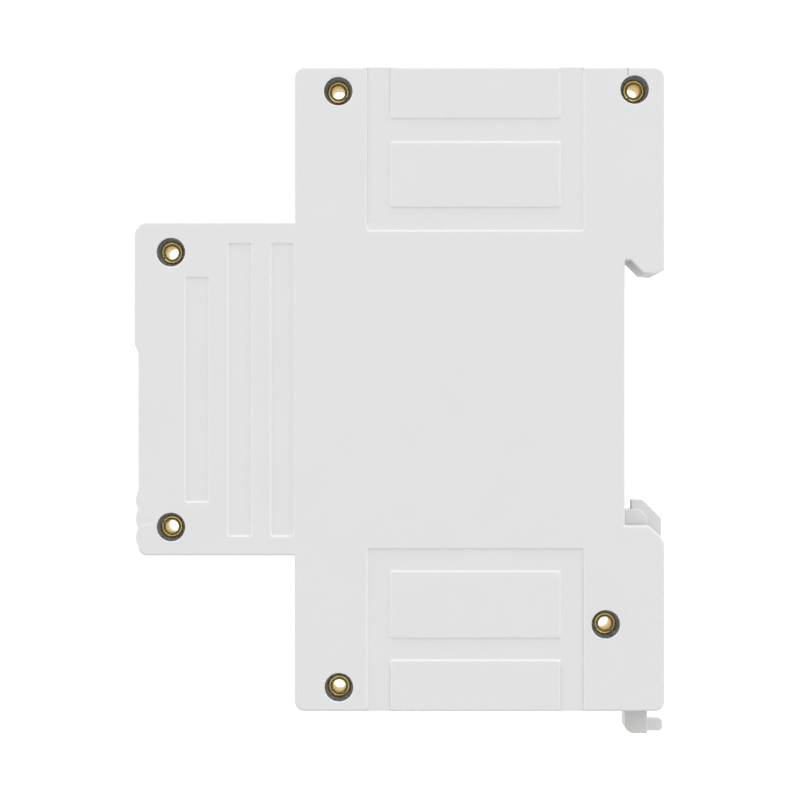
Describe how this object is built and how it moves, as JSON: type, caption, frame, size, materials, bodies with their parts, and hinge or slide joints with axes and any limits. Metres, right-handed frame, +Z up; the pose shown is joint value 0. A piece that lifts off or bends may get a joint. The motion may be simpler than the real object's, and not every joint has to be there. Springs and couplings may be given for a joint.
{
  "type": "din rail timer",
  "caption": "Two-module digital time switch for a 35 mm rail: riveted shells, display and buttons under a flap, clamp terminals, sprung foot.",
  "frame": {"origin": "on the rail seat plane, at the rail's centre line and the middle of the width", "axes": "+Y points back into the rail, so the front faces -Y; +Z is up the front face; +X is to the right seen from the front"},
  "size_m": [0.036, 0.0711, 0.0893],
  "materials": {
    "housing_abs": "fine moulded texture",
    "front_abs": "fine moulded texture",
    "clip_nylon": "natural nylon, satin",
    "rivet_brass": "drawn and rolled",
    "spring_steel": "wire drawn",
    "clear_acrylic": "polished",
    "lcd_cell": "polarised glass",
    "diffuser": "opal",
    "contact_rubber": "matt",
    "board_laminate": "solder mask",
    "black_epoxy": "moulded",
    "metal_can": "plated",
    "led_body": "clear cast",
    "button_caps": "moulded",
    "relay_blue": "moulded",
    "coil_wire": "taped copper winding",
    "soft_iron": "plated",
    "contact_silver": "plated",
    "film_box": "moulded",
    "can_sleeve": "shrink sleeve",
    "varistor_coat": "dipped",
    "resistor_coat": "lacquer",
    "tinned_brass": "tinned",
    "zinc_steel": "zinc plated"
  },
  "bodies": {
    "housing": {"right_shell": "housing_abs", "left_shell": "housing_abs", "side_rivets": "rivet_brass", "front_panel": "front_abs", "display_window": "clear_acrylic", "lcd_glass": "lcd_cell", "lcd_backlight": "diffuser", "zebra_strips": "contact_rubber", "light_pipe": "clear_acrylic", "indicator_led": "led_body", "display_board": "board_laminate", "microcontroller": "black_epoxy", "crystal": "metal_can", "backup_battery": "metal_can", "battery_clip": "spring_steel", "button_switches": "black_epoxy", "riser_board": "board_laminate", "board_headers": "black_epoxy", "power_board": "board_laminate", "relay_base": "relay_blue", "relay_case": "relay_blue", "relay_coil": "coil_wire", "relay_yoke": "soft_iron", "relay_contacts": "contact_silver", "x2_capacitor": "film_box", "electrolytic_capacitors": "can_sleeve", "varistor": "varistor_coat", "bridge_rectifier": "black_epoxy", "resistors": "resistor_coat", "contact_bars": "tinned_brass", "clip_spring": "spring_steel"},
    "foot": {"din_clip": "clip_nylon"},
    "flap": {"flap_cover": "front_abs"},
    "armature": {"relay_armature": "soft_iron"},
    "button_program": {"button_program": "button_caps"},
    "button_day": {"button_day": "button_caps"},
    "button_hour": {"button_hour": "button_caps"},
    "button_minute": {"button_minute": "button_caps"},
    "button_manual": {"button_manual": "button_caps"},
    "button_recall": {"button_recall": "button_caps"},
    "button_clock": {"button_clock": "button_caps"},
    "screw_1": {"terminal_screw_1": "zinc_steel"},
    "cage_1": {"clamp_cage_1": "zinc_steel"},
    "screw_2": {"terminal_screw_2": "zinc_steel"},
    "cage_2": {"clamp_cage_2": "zinc_steel"},
    "screw_3": {"terminal_screw_3": "zinc_steel"},
    "cage_3": {"clamp_cage_3": "zinc_steel"},
    "screw_4": {"terminal_screw_4": "zinc_steel"},
    "cage_4": {"clamp_cage_4": "zinc_steel"},
    "screw_5": {"terminal_screw_5": "zinc_steel"},
    "cage_5": {"clamp_cage_5": "zinc_steel"}
  },
  "joints": [
    {"name": "foot_slide", "type": "slide", "parent": "housing", "child": "foot", "axis": [0, 0, -1], "range_m": [0, 0.004], "stiffness_N_per_m": 1500, "springref_m": -0.004, "deforming": ["clip_spring"]},
    {"name": "flap_hinge", "type": "hinge", "parent": "housing", "child": "flap", "pos_m": [0, -0.0639, 0.004], "axis": [-1, 0, 0], "range_deg": [0, 100]},
    {"name": "armature_tilt", "type": "hinge", "parent": "housing", "child": "armature", "pos_m": [0.0051, -0.0269, 0.0179], "axis": [-1, 0, 0], "range_deg": [0, 4], "stiffness_Nm_per_rad": 0.01, "springref_deg": -5.73},
    {"name": "button_program_press", "type": "slide", "parent": "housing", "child": "button_program", "axis": [0, 1, 0], "range_m": [0, 0.0005], "stiffness_N_per_m": 600, "springref_m": -0.0003},
    {"name": "button_day_press", "type": "slide", "parent": "housing", "child": "button_day", "axis": [0, 1, 0], "range_m": [0, 0.0005], "stiffness_N_per_m": 600, "springref_m": -0.0003},
    {"name": "button_hour_press", "type": "slide", "parent": "housing", "child": "button_hour", "axis": [0, 1, 0], "range_m": [0, 0.0005], "stiffness_N_per_m": 600, "springref_m": -0.0003},
    {"name": "button_minute_press", "type": "slide", "parent": "housing", "child": "button_minute", "axis": [0, 1, 0], "range_m": [0, 0.0005], "stiffness_N_per_m": 600, "springref_m": -0.0003},
    {"name": "button_manual_press", "type": "slide", "parent": "housing", "child": "button_manual", "axis": [0, 1, 0], "range_m": [0, 0.0005], "stiffness_N_per_m": 600, "springref_m": -0.0003},
    {"name": "button_recall_press", "type": "slide", "parent": "housing", "child": "button_recall", "axis": [0, 1, 0], "range_m": [0, 0.0005], "stiffness_N_per_m": 600, "springref_m": -0.0003},
    {"name": "button_clock_press", "type": "slide", "parent": "housing", "child": "button_clock", "axis": [0, 1, 0], "range_m": [0, 0.0005], "stiffness_N_per_m": 600, "springref_m": -0.0003},
    {"name": "screw_1_turn", "type": "hinge", "parent": "housing", "child": "screw_1", "pos_m": [-0.0105, -0.033, 0.033], "axis": [0, 1, 0], "range_deg": [0, 2401]},
    {"name": "cage_1_lift", "type": "slide", "parent": "housing", "child": "cage_1", "axis": [0, -1, 0], "range_m": [0, 0.004]},
    {"name": "screw_2_turn", "type": "hinge", "parent": "housing", "child": "screw_2", "pos_m": [0, -0.033, 0.033], "axis": [0, 1, 0], "range_deg": [0, 2401]},
    {"name": "cage_2_lift", "type": "slide", "parent": "housing", "child": "cage_2", "axis": [0, -1, 0], "range_m": [0, 0.004]},
    {"name": "screw_3_turn", "type": "hinge", "parent": "housing", "child": "screw_3", "pos_m": [0.0105, -0.033, 0.033], "axis": [0, 1, 0], "range_deg": [0, 2401]},
    {"name": "cage_3_lift", "type": "slide", "parent": "housing", "child": "cage_3", "axis": [0, -1, 0], "range_m": [0, 0.004]},
    {"name": "screw_4_turn", "type": "hinge", "parent": "housing", "child": "screw_4", "pos_m": [-0.007, -0.033, -0.032], "axis": [0, 1, 0], "range_deg": [0, 2401]},
    {"name": "cage_4_lift", "type": "slide", "parent": "housing", "child": "cage_4", "axis": [0, -1, 0], "range_m": [0, 0.004]},
    {"name": "screw_5_turn", "type": "hinge", "parent": "housing", "child": "screw_5", "pos_m": [0.007, -0.033, -0.032], "axis": [0, 1, 0], "range_deg": [0, 2401]},
    {"name": "cage_5_lift", "type": "slide", "parent": "housing", "child": "cage_5", "axis": [0, -1, 0], "range_m": [0, 0.004]}
  ],
  "couplings": [
    {"joint": "screw_1_turn", "follows": "cage_1_lift", "rad_per_m": 10472},
    {"joint": "screw_2_turn", "follows": "cage_2_lift", "rad_per_m": 10472},
    {"joint": "screw_3_turn", "follows": "cage_3_lift", "rad_per_m": 10472},
    {"joint": "screw_4_turn", "follows": "cage_4_lift", "rad_per_m": 10472},
    {"joint": "screw_5_turn", "follows": "cage_5_lift", "rad_per_m": 10472}
  ]
}
